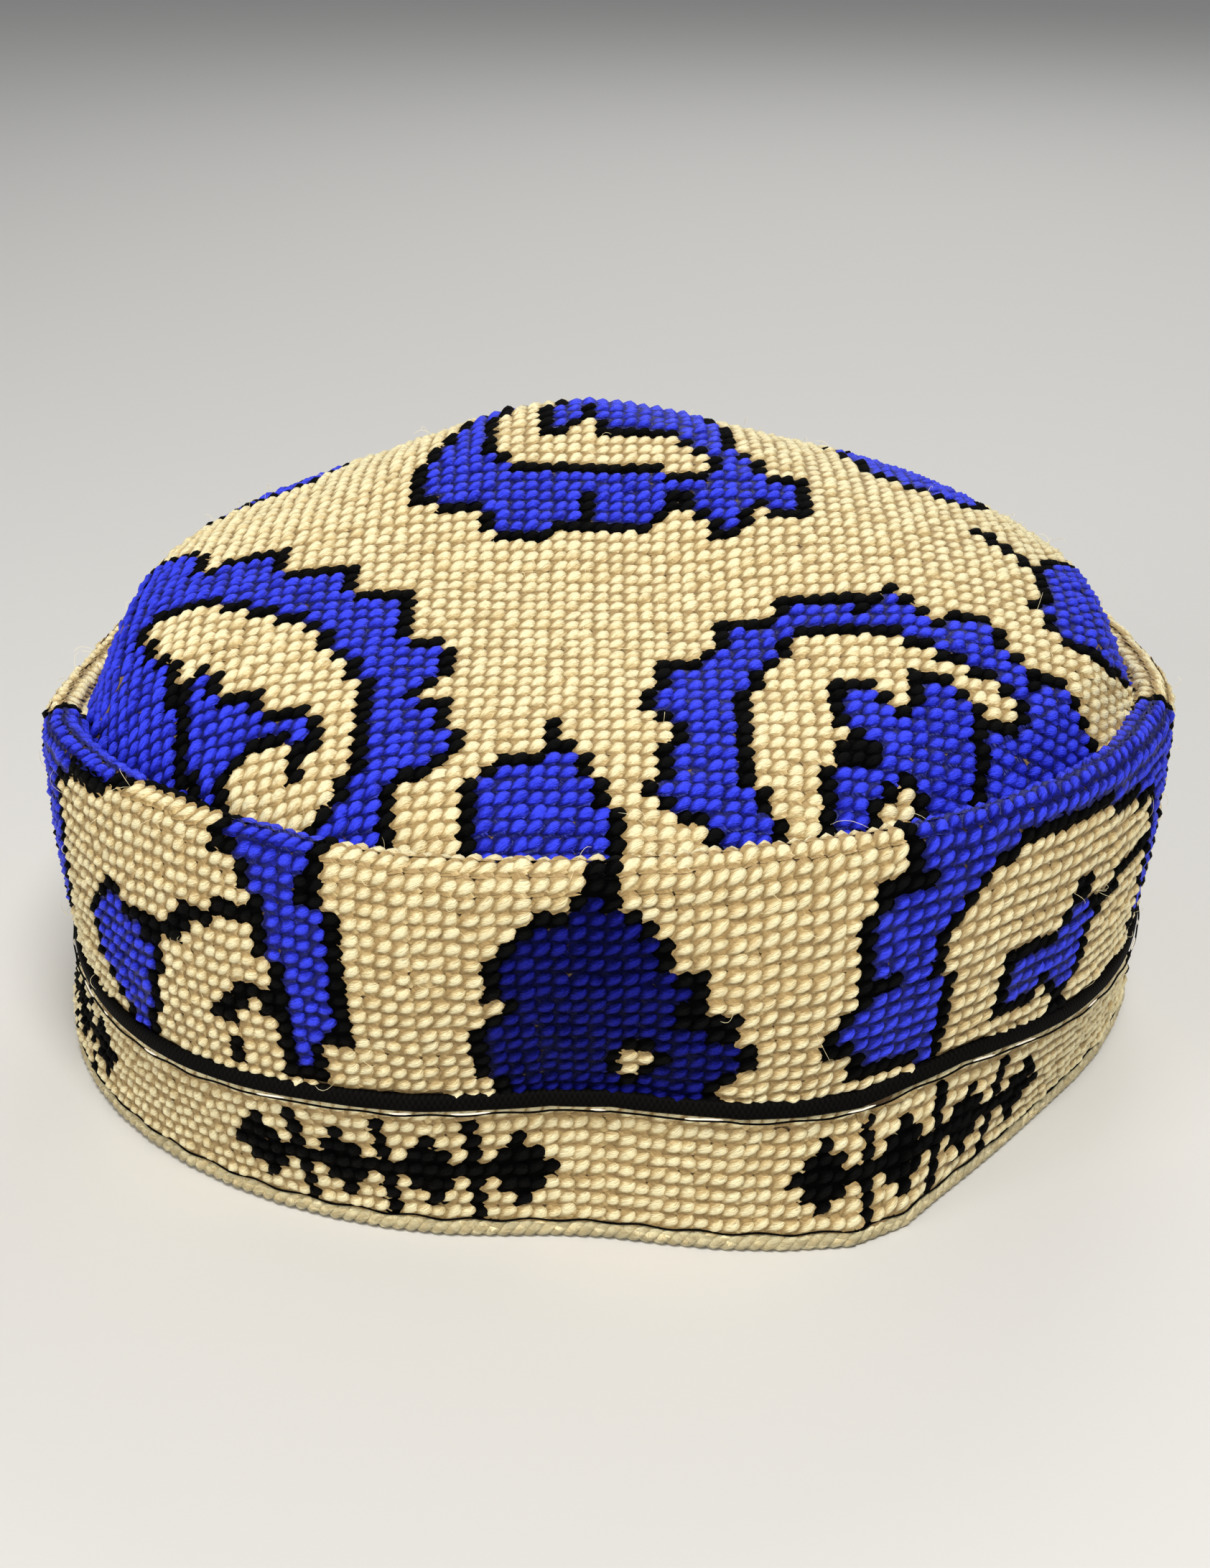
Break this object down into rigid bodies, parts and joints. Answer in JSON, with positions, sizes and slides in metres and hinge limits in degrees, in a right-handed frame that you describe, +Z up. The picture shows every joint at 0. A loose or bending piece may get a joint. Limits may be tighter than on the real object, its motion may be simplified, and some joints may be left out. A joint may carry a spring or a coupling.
{
  "type": "embroidered skullcap",
  "caption": "Stiff embroidered skullcap with a folded-down crown, upright side wall, braid-covered join, brim band and corded lower edge.",
  "frame": {"origin": "middle of the cap's outline seen from above, on the surface that its piping rests on", "axes": "+X to the cap's right as seen from its front, across its longest extent; -Y the cap's front; +Z up through the crown, its shortest extent"},
  "size_m": [0.187, 0.1757, 0.0981],
  "materials": {
    "ecru_stitching": "close cross stitch in silk, matt with a soft sheen",
    "ecru_band_stitching": "close cross stitch in silk, matt with a soft sheen",
    "black_braid": "flat woven braid, dull black",
    "ecru_piping": "twisted cord, matt"
  },
  "bodies": {
    "root": {"crown": "ecru_stitching", "brim_band": "ecru_band_stitching", "black_braid": "black_braid", "edge_piping": "ecru_piping"}
  },
  "joints": []
}
